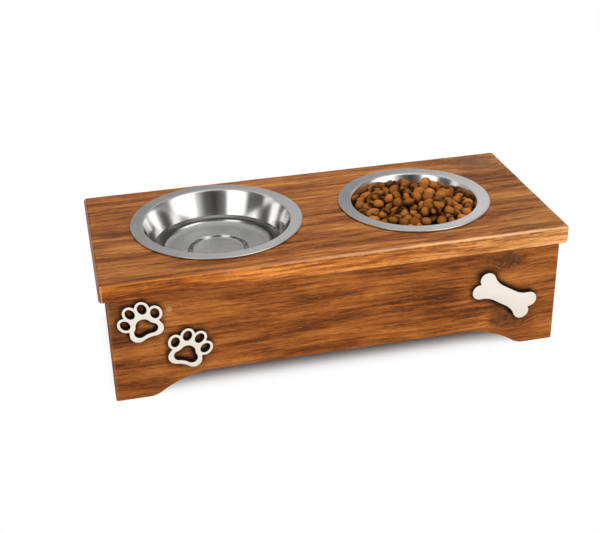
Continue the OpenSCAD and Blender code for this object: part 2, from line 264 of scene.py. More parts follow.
# Stained pine: grain runs along X, in layers that lean through the board.
# The layer reading is the lean plus slow noise. Near a knot it hardly changes, so the grain parts
# and passes on both sides; a knot is torn by noise, with strokes that spread from its middle.
# Bands, streaks, lines and fibres are cloudy noises along that reading, each finer than the last.
# Spots, rubbed edges, tints and strips then go over the colour; some tints and strips are painted highlights,
# sheen and shade at the edges and ends.
def stainedWood(name, wood, turned=False):
    f = Finish(name)
    x, y, z = f.place()
    if turned:      # grain along Y
        x, y = y, x
    seed = wood["seed"]
    across = y * wood["lean"][0] + z * wood["lean"][1]
    slow = f.noise(x * 0.005, across * 0.018, seed, 1.0)
    layer = across + (slow - 0.5) * wood["wander"]
    shade = f.noise(x * 0.016, across * 0.030, seed + 1.0, 3.0) - 0.5
    tone = shade * wood["shade"] + 0.5
    ash = None
    for knot in wood["knots"]:
        dx = (x - knot["x"]) / knot["spread"][0]
        da = (across - knot["across"]) / knot["spread"][1]
        torn = f.noise(x * 0.06, across * 0.08, seed + 3.0, 3.0, 0.6)
        away = dx.reach(da) + (torn - 0.5) * 0.9
        near = 1 - away.ease(0.1, 1.0)
        layer = layer - (across - knot["across"]) * near * 0.7 + away * near * knot["curl"]
        reach = dx.reach(da) + 0.05
        strokes = f.noise(dx / reach * 1.7, da / reach * 1.7, reach * 1.1 + seed, 4.0, 0.65) - 0.5
        tone = tone - near * torn * knot["dark"] + strokes * near * knot["strokes"] \
            - (1 - away.ease(0.04, 0.16)) * knot["core"]
        ash = near * knot["ash"] if ash is None else ash.most(near * knot["ash"])
    bands = f.noise(x * 0.008, layer * wood["bandScale"], seed + 5.0, 2.0, 0.5) - 0.5
    streaks = f.noise(x * 0.018, layer * 0.34, seed + 7.0, 4.0, 0.65) - 0.5
    lines = f.noise(x * 0.013, layer * 0.62, seed + 21.0, 3.0, 0.6).ease(0.55, 0.68)
    fibres = f.noise(x * 0.09, layer * 1.3, seed + 9.0, 3.0, 0.65) - 0.5
    nicks = f.noise(x * 0.21, layer * 1.6, seed + 13.0, 1.0)
    darkNick = nicks.ease(0.665, 0.74)
    paleNick = 1 - nicks.ease(0.26, 0.335)
    tone = tone + bands * wood["bands"] + streaks * wood["streaks"] + fibres * wood["fibres"] \
        - lines * wood["lines"]
    colour = f.ramp(tone, wood["stops"])
    if ash is not None:
        colour = f.mix(ash, colour, wood["ashes"])
    colour = f.mix(darkNick * wood["nicks"], colour, wood["pit"])
    colour = f.mix(paleNick * wood["nicks"] * 0.7, colour, wood["scratch"])
    for spot in wood["spots"]:
        away = (x - spot["x"]).reach(z - spot["z"])
        mark = 1 - away.ease(spot["radius"] * (1 - spot["soft"]), spot["radius"])
        colour = f.mix(mark * spot["strength"], colour, spot["colour"])
    rubbed = f.kept("wear")
    colour = f.mix(rubbed * (bands * 1.6 + 0.5) * wood["rub"], colour, wood["rubbed"])
    for tint in wood["tints"]:
        share = ((x, y)[tint["axis"]] - tint["middle"]).size().ease(tint["start"], tint["end"])
        if tint["frontOnly"]:
            share = share * (1 - y.ease(-1.0, 1.0))
        times = f.mix(x.ease(-210, 0), tint["left"], tint["middling"])
        times = f.mix(x.ease(0, 210), times, tint["right"])
        colour = f.mix(share, colour, f.mix(1.0, colour, times, "MULTIPLY"))
    for strip in wood["strips"]:
        reading = x * strip["of"][0] + y * strip["of"][1] + z * strip["of"][2]
        up, down = strip["up"], strip["down"]
        share = reading.ease(*up) * (1 - reading.ease(*down)) * strip["strength"]
        if strip["broken"]:
            share = share * f.noise(x * 0.05, y * 0.09, seed + 31.0, 3.0, 0.6).ease(0.38, 0.58)
        if strip["frontOnly"]:
            share = share * (1 - y.ease(-94.2, -93.6))
        if strip["toRight"]:
            share = share * x.ease(*strip["toRight"])
        colour = f.mix(share, colour, strip["colour"])
    height = bands * 0.3 + streaks * 0.5 + fibres * 0.6 - lines * 0.2 - darkNick * 0.5 + paleNick * 0.2
    rough = wood["rough"] + streaks * 0.3 - rubbed * 0.05
    return f.principled(Base_Color=colour, Roughness=rough, Specular_IOR_Level=wood["shine"],
                        Normal=f.bump(height, 0.5, wood["relief"]))


# A strip reads a sum of x, y and z shares, and is full between an upward and a downward slope.
# Noise may break it, it may keep to the front, or grow towards the right between two places.
def woodStrip(of, up, down, colour, strength, broken=False, frontOnly=False, toRight=None):
    return dict(of=of, up=up, down=down, colour=colour, strength=strength, broken=broken,
                frontOnly=frontOnly, toRight=toRight)


# A tint multiplies the colour by one that changes from left to right, where the distance along an
# axis from a middle is more than start and end. With both below 0 it covers the whole board.
def woodTint(axis, middle, start, end, left, middling, right, frontOnly=False):
    return dict(axis=axis, middle=middle, start=start, end=end, left=left, middling=middling,
                right=right, frontOnly=frontOnly)


# A knot's place along the grain and across the layers, how far it bends the grain, and how dark
# it is, in its core too; strokes and ash are the strength of its rays and of its grey veil
def woodKnot(x, across, spread, curl, dark, core, strokes, ash):
    return dict(x=x, across=across, spread=spread, curl=curl, dark=dark, core=core, strokes=strokes, ash=ash)


def woodSpot(x, z, radius, soft, strength, colour):
    return dict(x=x, z=z, radius=radius, soft=soft, strength=strength, colour=colour)


topWood = {
    "seed": 2.3, "lean": (0.82, 0.9), "wander": 12.0, "shade": 0.35, "bandScale": 0.090,
    "bands": 1.05, "streaks": 1.4, "lines": 0.20, "fibres": 0.95, "nicks": 0.6,
    "stops": [(0.12, (0.110, 0.026, 0.004)), (0.32, (0.205, 0.056, 0.009)), (0.48, (0.325, 0.101, 0.018)),
              (0.62, (0.420, 0.145, 0.030)), (0.85, (0.580, 0.240, 0.070))],
    "pit": (0.085, 0.028, 0.010), "scratch": (0.56, 0.26, 0.11), "spots": [],
    "knots": [woodKnot(188.0, 168.0, (38.0, 27.0), 10.0, 0.34, 0.0, 1.0, 0.6)],
    "ashes": (0.180, 0.080, 0.040),
    "rub": 0.45, "rubbed": (0.56, 0.24, 0.08), "rough": 0.5, "shine": 0.14, "relief": 0.14,
    "tints": [
        woodTint(0, 0, -2.0, -1.0, (0.87, 0.85, 0.72), (1.0, 1.0, 0.88), (0.98, 1.08, 1.2)),
        # The front edge face is lighter, partly as less stain on the edge and partly a painted sheen that
        # grows to the right
        woodTint(1, 0, 93.0, 94.8, (1.68, 1.45, 0.92), (1.65, 1.6, 1.46), (2.14, 2.58, 3.35), True)],
    "strips": [
        # Left end rounding: paler grey brown, partly wear and partly painted light from the left, with a
        # broken dark line at its inner border
        woodStrip((-1, 0, 0), (212.9, 213.4), (300, 301), (0.33, 0.180, 0.115), 0.7),
        woodStrip((-1, 0, 0), (211.9, 212.3), (212.7, 213.2), (0.05, 0.025, 0.015), 0.75, broken=True),
        # Front left corner: painted shade on the rounding that turns away, then a painted highlight on the
        # arris
        woodStrip((-1, 0, 0), (213.0, 213.4), (300, 301), (0.16, 0.075, 0.045), 0.85, frontOnly=True),
        woodStrip((-1, 0, 0), (211.4, 211.9), (212.6, 213.1), (0.70, 0.42, 0.25), 0.65, frontOnly=True),
        woodStrip((1, 0, 0), (213.6, 214.8), (300, 301), (0.16, 0.075, 0.045), 0.5),
        # A painted highlight along the front top edge that grows to the right, and a broken dark line under
        # it
        woodStrip((0, -1, 1), (212.70, 213.05), (300, 301), (0.88, 0.55, 0.32), 0.55, toRight=(-160, 160)),
        woodStrip((0, -1, -1), (-23.6, -22.9), (-21.8, -21.0), (0.10, 0.035, 0.012), 0.6, True, True)],
}
panelWood = {
    "seed": 8.1, "lean": (0.7, 0.95), "wander": 10.0, "shade": 0.85, "bandScale": 0.062,
    "bands": 1.15, "streaks": 1.2, "lines": 0.22, "fibres": 0.95, "nicks": 0.8,
    "stops": [(0.12, (0.100, 0.024, 0.003)), (0.32, (0.215, 0.055, 0.007)), (0.48, (0.325, 0.089, 0.012)),
              (0.62, (0.430, 0.130, 0.020)), (0.85, (0.600, 0.215, 0.040))],
    "pit": (0.060, 0.016, 0.004), "scratch": (0.52, 0.22, 0.08),
    "spots": [
        woodSpot(-155.9, 87.5, 3.5, 0.5, 0.9, (0.60, 0.28, 0.11)),
        woodSpot(-145.5, 91.0, 1.4, 0.5, 0.5, (0.48, 0.22, 0.10)),
        woodSpot(-171.0, 55.0, 1.2, 0.5, 0.4, (0.48, 0.22, 0.10)),
        woodSpot(-212.0, 86.0, 34.0, 1.0, 0.5, (0.11, 0.045, 0.018))],
    "knots": [
        woodKnot(160.0, 22.0, (23.0, 17.0), 9.0, 0.20, 0.25, 1.5, 0.2),
        woodKnot(139.0, 12.0, (15.0, 10.0), 3.0, 0.75, 0.0, 0.6, 0.3),
        woodKnot(170.0, -38.0, (25.0, 17.0), 12.0, 0.15, 0.1, 0.6, 0.2),
        woodKnot(151.0, -36.0, (14.0, 13.0), 3.0, 0.75, 0.0, 0.5, 0.3)],
    "ashes": (0.190, 0.085, 0.035),
    "rub": 0.35, "rubbed": (0.44, 0.17, 0.045), "rough": 0.52, "shine": 0.12, "relief": 0.14,
    "tints": [
        woodTint(0, 0, -2.0, -1.0, (0.86, 0.86, 0.92), (1.0, 1.0, 1.0), (0.97, 1.0, 1.06)),
        woodTint(0, -0.8, 207.7, 208.9, (1.0, 1.0, 1.0), (1.0, 1.0, 1.0), (0.8, 0.75, 0.7))],
    "strips": [
        # Left end: painted shade on its rounding, then a faint broken painted highlight line
        woodStrip((-1, 0, 0), (208.2, 208.7), (300, 301), (0.200, 0.105, 0.070), 0.7),
        woodStrip((-1, 0, 0), (207.0, 207.4), (208.0, 208.4), (0.46, 0.23, 0.11), 0.2, broken=True)],
}
hiddenWood = {
    "seed": 5.5, "lean": (0.9, 0.8), "wander": 12.0, "shade": 0.4, "bandScale": 0.1,
    "bands": 1.0, "streaks": 1.0, "lines": 0.0, "fibres": 0.5, "nicks": 0.3,
    "stops": [(0.2, (0.36, 0.20, 0.09)), (0.5, (0.56, 0.37, 0.19)), (0.8, (0.68, 0.49, 0.28))],
    "pit": (0.25, 0.13, 0.06), "scratch": (0.75, 0.58, 0.36), "spots": [], "knots": [],
    "rub": 0.0, "rubbed": (0.7, 0.5, 0.3), "rough": 0.6, "shine": 0.2, "relief": 0.15,
    "tints": [], "strips": [],
}


# Birch plywood cut by laser: a pale face with faint grain, and burnt walls behind it.
# A point is face where it lies in front of the burn line, measured along Y.
def badgeFinish(name, badge):
    f = Finish(name)
    x, y, z = f.place()
    grain = f.noise(x * 0.05, z * 0.9, 1.0, 3.0, 0.6)
    cloud = f.noise(x * 0.04, z * 0.06, 4.0, 2.0)
    face = f.mix(grain.ease(0.35, 0.7) * 0.35 + cloud * 0.2, badge["face"], badge["grain"])
    plies = f.noise(y * 1.6, 0.0, 2.0, 1.0)
    wall = f.mix(plies, badge["burnt"], badge["charred"])
    back = y.ease(badge["frontY"] + 0.12, badge["frontY"] + 0.4)
    colour = f.mix(back, face, wall)
    return f.principled(Base_Color=colour, Roughness=0.55 + back * 0.2, Specular_IOR_Level=0.3,
                        Normal=f.bump(grain, 0.25, 0.05))


# Steel: a satin rim brushed round and round, and a polished inside with faint spun lines.
# A point's distance from the bowl's axis tells the rim, the rolled edge and the lines. The rim has painted
# light, lighter on the side towards the front right, and painted shade away from it. Its height tells the
# floor and the bend round it, painted darker lower down as shade, and darkest at the two ends as a painted
# dark reflection.
def steelFinish(name, bowl):
    f = Finish(name)
    x, y, z = f.place()
    dx, dy, depth = x - bowl["x"], y - bowl["y"], z * -1 + bowl["top"]
    radius = dx.reach(dy)
    rim = radius.ease(bowl["flatFrom"] - 4.0, bowl["flatFrom"] - 0.3)
    bead = radius.ease(bowl["rimRadius"] - 1.6, bowl["rimRadius"] - 0.7)
    # painted shade darkens the lower inside and the floor; the two ends of the bend take a painted dark
    # reflection
    deep, floor = depth.ease(*bowl["deepFrom"]), depth.ease(*bowl["floorFrom"])
    ends = (dx / radius).size().ease(*bowl["darkReflectionFrom"])
    # painted light on the rim: lighter towards the front right, painted shade away from it
    paintedLight = (dx * bowl["paintedLightFrom"][0] + dy * bowl["paintedLightFrom"][1]) / radius
    spin = f.noise((radius + z * 1.3) * 2.2, dx * 0.01, dy * 0.01, 3.0, 0.65)
    fineSpin = f.noise((radius + z * 1.3) * 8.0, dx * 0.02, dy * 0.02, 2.0, 0.6)
    smears = f.noise(dx * 0.04, dy * 0.04, z * 0.02, 3.0, 0.6)
    below = f.mix(floor, f.mix(ends, bowl["deep"], bowl["ends"]), bowl["floor"])
    inside = f.mix(deep, bowl["inside"], below)
    tone = f.mix(rim, inside, f.mix(paintedLight * 0.5 + 0.5, bowl["rimPaintedShade"], bowl["rim"]))
    tone = f.mix(bead * 0.7, tone, bowl["bead"])
    tone = f.mix(smears.ease(0.4, 0.75) * 0.25, tone, bowl["dull"])
    rough = rim * (bowl["rimRough"] - bowl["wallRough"]) + bowl["wallRough"] \
        + (smears - 0.5) * 0.10 + (spin - 0.5) * 0.06
    height = spin * 0.7 + fineSpin * (0.3 + rim * 1.0)
    return f.principled(Base_Color=tone, Metallic=1.0, Roughness=rough, Normal=f.bump(height, 0.2, 0.02))


def zincFinish(name):
    f = Finish(name)
    x, y, z = f.place()
    cloud = f.noise(x * 0.6, y * 0.6, z * 0.6, 3.0)
    return f.principled(Base_Color=f.mix(cloud, (0.55, 0.55, 0.56), (0.72, 0.72, 0.70)),
                        Metallic=1.0, Roughness=0.3 + cloud * 0.15)


# Dry food: baked brown, each lump a little lighter or darker, with a pitted dusty crust, and painted shade
# lower in the heap and where its points keep it
def kibbleFinish(name, food):
    f = Finish(name)
    x, y, z = f.place()
    crust = f.noise(x * 0.55, y * 0.55, z * 0.55, 4.0, 0.6)
    pits = f.noise(x * 1.5, y * 1.5, z * 1.5, 3.0, 0.65)
    tone = f.mix(f.kept("lump"), food["dark"], food["light"])
    tone = f.mix(crust.ease(0.42, 0.7) * 0.5, tone, food["baked"])
    tone = f.mix((1 - pits.ease(0.32, 0.48)) * 0.5, tone, food["pit"])
    # painted shade: darker lower in the heap
    rise = z + (x - food["middle"][0]).reach(y - food["middle"][1]) * 0.12
    tone = f.mix(1 - rise.ease(food["top"] - 15, food["top"] - 1), tone, food["gap"])
    # painted shade kept at the points: lump undersides, crowded places and the bed
    tone = f.mix(f.kept("hollow") * 0.95, tone, food["gap"])
    return f.principled(Base_Color=tone, Roughness=0.62 + (pits - 0.5) * 0.2, Specular_IOR_Level=0.06,
                        Normal=f.bump(crust * 0.6 + pits * 0.6, 0.6, 0.5))


def waterFinish(name):
    f = Finish(name)
    x, y, z = f.place()
    swell = f.noise(x * 0.035, y * 0.035, z * 0.02, 2.0)
    return f.principled(Base_Color=(0.97, 0.985, 0.99, 1), Roughness=0.0, IOR=1.333,
                        Transmission_Weight=1.0, Normal=f.bump(swell, 0.35, 2.0))


# Top board

topBoard = {"edgeRound": 3.0, "cornerRound": 3.6, "holeEase": 0.9, "step": 3.2, "topRows": 14,
            "roundRows": 6, "edgeWander": 0.16, "dish": 0.10, "clearance": 0.8}

bowls = {
    "left": {"node": "left_bowl", "rimWidth": 9.6},
    "right": {"node": "right_bowl", "rimWidth": 10.6, "rim": (0.90, 0.895, 0.89)},
}
bowlShape = {"wall": 0.8, "bead": 1.0, "bendRound": 3.0, "flatBend": 2.0, "lean": 19.0, "floorDepth": 36.8,
             "floorRound": 16.0, "sumpInset": 17.3, "sumpSlope": 4.0, "sumpDrop": 3.7, "columns": 180,
             "flatSink": 0.22, "wobble": 0.05}

for bowl in bowls.values():
    low, high = nodeBox(bowl["node"])
    bowl["x"], bowl["y"] = (low[:2] + high[:2]) / 2
    bowl["top"] = high[2]
    bowl["rimRadius"] = (high[0] - low[0]) / 2
    flatFrom = bowl["rimRadius"] - bowl["rimWidth"]
    lean = math.radians(bowlShape["lean"])
    bowl["hole"] = flatFrom - (bowlShape["flatBend"] - bowlShape["wall"]) * math.cos(lean) \
        + topBoard["clearance"]
    softer = bowlShape["bendRound"] - bowlShape["flatBend"]
    bowl["flatFrom"] = flatFrom + softer * math.tan((math.pi / 2 - lean) / 2)


# Columns of half the board: points along its outline with their outward directions.
# The outline runs from the seam at x = 0 along the front, round the end, back to the seam and down it.
def halfOutline(side, halfLong, halfDeep, corner, step):
    arcTurns = np.radians(np.linspace(-90, 0, 8))
    frontX = np.linspace(0, halfLong - corner, int(halfLong / step))
    endY = np.linspace(-halfDeep + corner, halfDeep - corner, int(2 * halfDeep / step))[1:-1]
    seamY = np.linspace(halfDeep - step, -halfDeep + step, int(2 * halfDeep / step))
    arc = np.stack([np.cos(arcTurns), np.sin(arcTurns)], 1)
    middle = np.array([halfLong - corner, -halfDeep + corner])
    points = np.concatenate([
        np.stack([frontX[:-1], np.full(len(frontX) - 1, -halfDeep)], 1),
        middle + corner * arc,
        np.stack([np.full(len(endY), halfLong), endY], 1),
        (middle + corner * arc)[::-1] * [1, -1],
        np.stack([frontX[:-1][::-1], np.full(len(frontX) - 1, halfDeep)], 1),
        np.stack([np.zeros(len(seamY)), seamY], 1)])
    out = np.concatenate([
        np.tile([0, -1.0], (len(frontX) - 1, 1)), arc, np.tile([1.0, 0], (len(endY), 1)),
        arc[::-1] * [1, -1], np.tile([0, 1.0], (len(frontX) - 1, 1)), np.zeros((len(seamY), 2))])
    return points * [side, 1], out * [side, 1]


# Half of the top board round its hole. Every column's profile climbs the hole's wall, crosses the
# top from the hole to the outline, goes over the rounded edge, down the side and back underneath.
def boardHalf(side, hole, low, high, spec):
    halfLong, halfDeep = high[0], high[1]
    outline, out = halfOutline(side, halfLong, halfDeep, spec["cornerRound"], spec["step"])
    centre = np.array([hole["x"], hole["y"]])
    toward = unit(outline - centre)
    soft = spec["edgeRound"] * (1 + spec["edgeWander"] * waves(outline[:, 0], outline[:, 1], 90, 1.3))
    turns = np.radians(np.linspace(0, 90, spec["roundRows"]))
    easeBy, rows = spec["holeEase"], []

    def addRow(plan, z):
        rows.append(np.concatenate([plan, np.broadcast_to(z, (len(plan),))[:, None]], 1))

    for z in (low[2] + easeBy, (low[2] + high[2]) / 2):
        addRow(centre + toward * hole["hole"], z)
    for turn in turns:
        addRow(centre + toward * (hole["hole"] + easeBy * (1 - math.cos(turn))),
               high[2] - easeBy * (1 - math.sin(turn)))
    start = centre + toward * (hole["hole"] + easeBy)
    finish = outline - out * soft[:, None]
    for share in np.linspace(0, 1, spec["topRows"])[1:]:
        addRow(start + (finish - start) * share, high[2])
    for turn in turns[1:]:
        addRow(outline - out * (soft * (1 - math.sin(turn)))[:, None], high[2] - soft * (1 - math.cos(turn)))
    addRow(outline, (low[2] + high[2]) / 2)
    for turn in turns[::-1]:
        addRow(outline - out * (soft * (1 - math.sin(turn)))[:, None], low[2] + soft * (1 - math.cos(turn)))
    for share in np.linspace(1, 0, 4)[1:]:
        addRow(start + (finish - start) * share, low[2])
    grid = np.array(rows)
    count, columns = grid.shape[:2]
    faces = gridFaces(count, columns, True, True)
    onSeam = np.abs(out).sum(1) == 0
    row, column = faces[:, 0] // columns, faces[:, 0] % columns
    firstEdgeRow = 2 + len(turns) + spec["topRows"] - 2
    lastEdgeRow = firstEdgeRow + 2 * len(turns)
    inside = (onSeam[column] | onSeam[(column + 1) % columns]) & (row >= firstEdgeRow) & (row < lastEdgeRow)
    return grid.reshape(-1, 3), faces[~inside]


# How near each point is to an edge of a box: the second smallest distance to its faces
def edgeWear(points, low, high, width):
    sides = np.stack([np.minimum(points[:, k] - low[k], high[k] - points[:, k]) for k in range(3)], 1)
    second = np.sort(np.abs(sides), axis=1)[:, 1]
    return np.exp(-(second / width) ** 2)


# The top board: two halves that meet at x = 0, with slow waves a tenth of a millimetre deep on top
def buildTopBoard(material):
    low, high = nodeBox("top_board")
    parts = [boardHalf(side, bowls[key], low, high, topBoard) for side, key in ((-1, "left"), (1, "right"))]
    points = np.concatenate([part[0] for part in parts])
    faces = np.concatenate([parts[0][1], parts[1][1] + len(parts[0][0])])
    wear = edgeWear(points, low, high, 2.0)
    inner = np.minimum(points[:, 2] - low[2], high[2] - points[:, 2]) < 0.01
    sag = topBoard["dish"] * waves(points[:, 0], points[:, 1], 160, 4.1) - topBoard["dish"]
    points[:, 2] += np.where(inner & (points[:, 2] > low[2] + 1), sag * (1 - wear), 0)
    return makePiece("walnut_top", points, faces, material, "stand", ["top_board"],
                     {"wear": wear}, sharpAngle=50)


# Panels

arch = {"footLeft": 30.2, "footRight": 29.5, "height": 19.7, "footRound": 19.0, "shoulder": 87.0}
panel = {"endRound": 2.4, "lowRound": 1.3, "step": 2.4, "faceRows": 16, "roundRows": 5}


# Height of the arch over the floor: an arc that leaves each foot level and bends up, then a round
# shoulder that starts where both lean alike, then level. Both long panels follow the front one's.
def archLine(x):
    low, high = nodeBox("front_panel")
    footRound, shoulder, height = arch["footRound"], arch["shoulder"], arch["height"]
    lean = math.acos(1 - height / (footRound + shoulder))
    u = np.clip(np.minimum(x - low[0] - arch["footLeft"], high[0] - arch["footRight"] - x), 0, None)
    foot = footRound - np.sqrt(np.clip(footRound ** 2 - u ** 2, 0, None))
    over = np.clip((footRound + shoulder) * math.sin(lean) - u, 0, shoulder * math.sin(lean))
    curve = height - shoulder + np.sqrt(shoulder ** 2 - over ** 2)
    return np.where(u < footRound * math.sin(lean), foot, curve)


# A long panel as a closed section carried along X. The section runs down the outer face, round
# the lower edges and up the inner face. Near the ends the outer face draws in on a circle.
def buildLongPanel(node, name, outward, material):
    low, high = nodeBox(node)
    outerY, innerY = (low[1], high[1]) if outward < 0 else (high[1], low[1])
    turns = np.radians(np.linspace(0, 90, panel["roundRows"]))
    endSteps = panel["endRound"] * (1 - np.cos(turns))
    middle = np.arange(low[0] + panel["endRound"], high[0] - panel["endRound"], panel["step"])
    xs = np.concatenate([[low[0]], low[0] + endSteps, middle[1:], high[0] - endSteps[::-1], [high[0]]])
    drawIn = np.concatenate([[abs(innerY - outerY)], panel["endRound"] * (1 - np.sin(turns)),
                             np.zeros(len(middle) - 1), panel["endRound"] * (1 - np.sin(turns[::-1])),
                             [abs(innerY - outerY)]])
    bottom = archLine(xs)
    inward = -outward
    fall = np.linspace(1, 0, panel["faceRows"])
    rows = []

    def addRow(y, z):
        rows.append(np.stack([xs, np.broadcast_to(y, xs.shape), np.broadcast_to(z, xs.shape)], 1))

    face = outerY + inward * drawIn
    limit = np.minimum(panel["lowRound"], np.abs(innerY - face) / 2)
    for share in fall:
        addRow(face, bottom + limit + (high[2] - bottom - limit) * share)
    for turn in turns[1:]:
        addRow(face + inward * limit * (1 - math.cos(turn)), bottom + limit * (1 - math.sin(turn)))
    for turn in turns[::-1]:
        addRow(innerY - inward * limit * (1 - math.cos(turn)), bottom + limit * (1 - math.sin(turn)))
    for share in fall[::-1]:
        addRow(np.full(len(xs), innerY), bottom + limit + (high[2] - bottom - limit) * share)
    grid = np.array(rows)
    points = grid.reshape(-1, 3)
    ends = np.minimum(points[:, 0] - low[0], high[0] - points[:, 0])
    below = points[:, 2] - archLine(points[:, 0])
    depth = np.abs(points[:, 1] - outerY)
    near = np.sort(np.stack([ends, below, depth], 1), axis=1)[:, 1]
    wear = np.exp(-(near / 1.9) ** 2)
    return makePiece(name, points, gridFaces(*grid.shape[:2], True), material, "stand",
                     [node], {"wear": wear}, sharpAngle=50)


# Bowls

# Points on an arc, as radius and height
def arcPoints(middle, radius, start, end, steps):
    turn = np.radians(np.linspace(start, end, steps))
    return np.stack([middle[0] + radius * np.cos(turn), middle[1] + radius * np.sin(turn)], 1)


# Where a bowl's profile turns, as radius and height from the top of its rim. The wall is a straight
# line that leans outwards and touches a small arc at the rim and a large one at the floor. These are
# the lean, the middles of both arcs, and the radius of the step in the floor.
def bowlProfile(bowl, shape):
    lean = math.radians(shape["lean"])
    inward = np.array([-math.cos(lean), math.sin(lean)])
    down = np.array([-math.sin(lean), -math.cos(lean)])
    bend = np.array([bowl["flatFrom"], -shape["bendRound"]])
    wallStart = bend + shape["bendRound"] * inward
    run = (wallStart[1] + shape["floorDepth"] - shape["floorRound"] * (1 - math.sin(lean))) / math.cos(lean)
    floorMiddle = wallStart + run * down + shape["floorRound"] * inward
    step = floorMiddle[0] - shape["sumpInset"]
    return lean, bend, floorMiddle, step


# A bowl's inside from the middle of the floor to the rim: a sunk round with softened corners, the
# floor, its large arc, the wall and the small arc. With an outset it is the outside.
def innerPath(bowl, shape, outset=0.0):
    bend, floorMiddle, step = bowlProfile(bowl, shape)[1:]
    floorZ, sumpZ = -shape["floorDepth"], -shape["floorDepth"] - shape["sumpDrop"]
    slope = math.atan2(shape["sumpDrop"], shape["sumpSlope"])
    mitre = outset * math.tan(slope / 2)
    sumpR = step - shape["sumpSlope"]
    sump = np.stack([np.linspace(0, sumpR + mitre - 1.2, 9), np.full(9, sumpZ - outset)], 1)
    sump[:, 1] += 0.35 * (1 - (sump[:, 0] / sumpR) ** 2) * (outset == 0)
    soft = smoothCorner([sumpR + mitre - 1.2, sumpZ - outset], [sumpR + mitre, sumpZ - outset],
                        [sumpR + mitre + 0.9, sumpZ - outset + 0.9 * math.tan(slope)], 6)
    soft2 = smoothCorner([step + mitre - 1.1, floorZ - outset - 1.1 * math.tan(slope)],
                         [step + mitre, floorZ - outset], [step + mitre + 1.3, floorZ - outset], 6)
    floor = np.stack([np.linspace(step + mitre + 2.0, floorMiddle[0] - 0.5, 8),
                      np.full(8, floorZ - outset)], 1)
    fillet = arcPoints(floorMiddle, shape["floorRound"] + outset, -90, -shape["lean"], 14)
    corner = arcPoints(bend, shape["bendRound"] - outset, 180 - shape["lean"], 90, 10)
    wall = fillet[-1] + (corner[0] - fillet[-1]) * np.linspace(0, 1, 14)[1:-1, None]
    return np.concatenate([sump, soft, soft2, floor, fillet, wall, corner])


# Rounds the corner between three points with a quadratic curve
def smoothCorner(a, b, c, steps):
    a, b, c = np.array(a), np.array(b), np.array(c)
    t = np.linspace(0, 1, steps)[:, None]
    return (1 - t) ** 2 * a + 2 * t * (1 - t) * b + t ** 2 * c


# Turns a profile of radius and height round the bowl's axis, with a faint ripple in the wall
def revolve(path, bowl, columns, wobble=0.0):
    turn = np.arange(columns) * 2 * math.pi / columns
    radius, height = path[:, 0][:, None], path[:, 1][:, None]
    ripple = np.sin(3 * turn + height / 9) + 0.6 * np.sin(7 * turn + 1.3 + height / 14)
    onWall = ease(radius, 10, 50) * (1 - ease(radius, bowl["flatFrom"], bowl["flatFrom"] + 2))
    radius = radius + ripple * wobble * onWall
    grid = np.stack([bowl["x"] + radius * np.cos(turn), bowl["y"] + radius * np.sin(turn),
                     bowl["top"] + height + 0 * turn], -1)
    return grid.reshape(-1, 3), gridFaces(len(path), columns, False, True)


# A bowl: inside, flat rim, rolled bead and outside as one path that is turned round the axis
def buildBowl(side, name, material):
    bowl, shape = bowls[side], bowlShape
    beadMiddle = np.array([bowl["rimRadius"] - shape["bead"], -shape["bead"]])
    inside = innerPath(bowl, shape)
    flatTo = beadMiddle[0] - 0.9
    flat = np.stack([np.linspace(bowl["flatFrom"] + 0.5, flatTo, 8),
                     -shape["flatSink"] * ease(np.linspace(0, 1, 8), 0, 0.4)], 1)
    bead = arcPoints(beadMiddle, shape["bead"], 130, -170, 20)
    outside = innerPath(bowl, shape, shape["wall"])[::-1]
    path = np.concatenate([inside, flat, bead, outside])
    path[0, 0] = path[-1, 0] = 0
    points, faces = revolve(path, bowl, shape["columns"], shape["wobble"])
    return makePiece(name, points, faces, material, bowl["node"], [bowl["node"]], sharpAngle=60)


water = {"level": 97.6, "bite": 0.2, "creep": 0.3, "creepLength": 0.9, "rows": 30}


# Water: the bowl's inside path, sunk a little into the steel, closed by a level top that
# creeps up the wall as an exponential of the distance from it
def buildWater(material):
    bowl = bowls["left"]
    inside = innerPath(bowl, bowlShape, water["bite"])
    level = water["level"] - bowl["top"]
    below = inside[inside[:, 1] < level + water["creep"]]
    edge = below[-1]
    slope = math.tan(math.radians(bowlShape["lean"]))
    lip = np.array([edge[0] + (level + water["creep"] - edge[1]) * slope, level + water["creep"]])
    across = lip[0] * (1 - np.linspace(0, 1, water["rows"]) ** 2.2)[1:]
    top = np.stack([across, level + water["creep"] * np.exp(-(lip[0] - across) / water["creepLength"])], 1)
    path = np.concatenate([below, [lip], top])
    path[0, 0] = path[-1, 0] = 0
    points, faces = revolve(path, bowl, bowlShape["columns"])
    return makePiece("water", points, faces, material, bowl["node"], sharpAngle=30)


food = {
    "count": 218, "seed": 7, "halfSizes": (5.8, 5.2, 4.5), "spread": 0.13, "packing": 1.06,
    "twins": 0.35, "twinAside": 0.85, "twinSize": 0.68, "dents": (0.12, 0.06, 0.06, 0.06, 0.06),
    "rings": 8, "spokes": 11, "rounds": 380, "sink": (0.5, 0.12), "push": 0.28, "gather": 0.001,
    "bed": -21.0, "bedRound": (42.0, 48.0), "bedThick": 9.0, "highest": 3.2, "edgeDrop": 5.5,
    "dropOver": (26.0, 56.0), "wallGap": 0.3, "shadeBelowFrom": (-0.5, 0.6), "crowdShadeFrom": (0.95, 1.55),
    "dark": (0.235, 0.072, 0.008), "light": (0.620, 0.222, 0.042),
    # the last colour is the near black of the painted shade between and under the lumps
    "baked": (0.350, 0.112, 0.014), "pit": (0.080, 0.024, 0.003), "gap": (0.006, 0.003, 0.001),
}


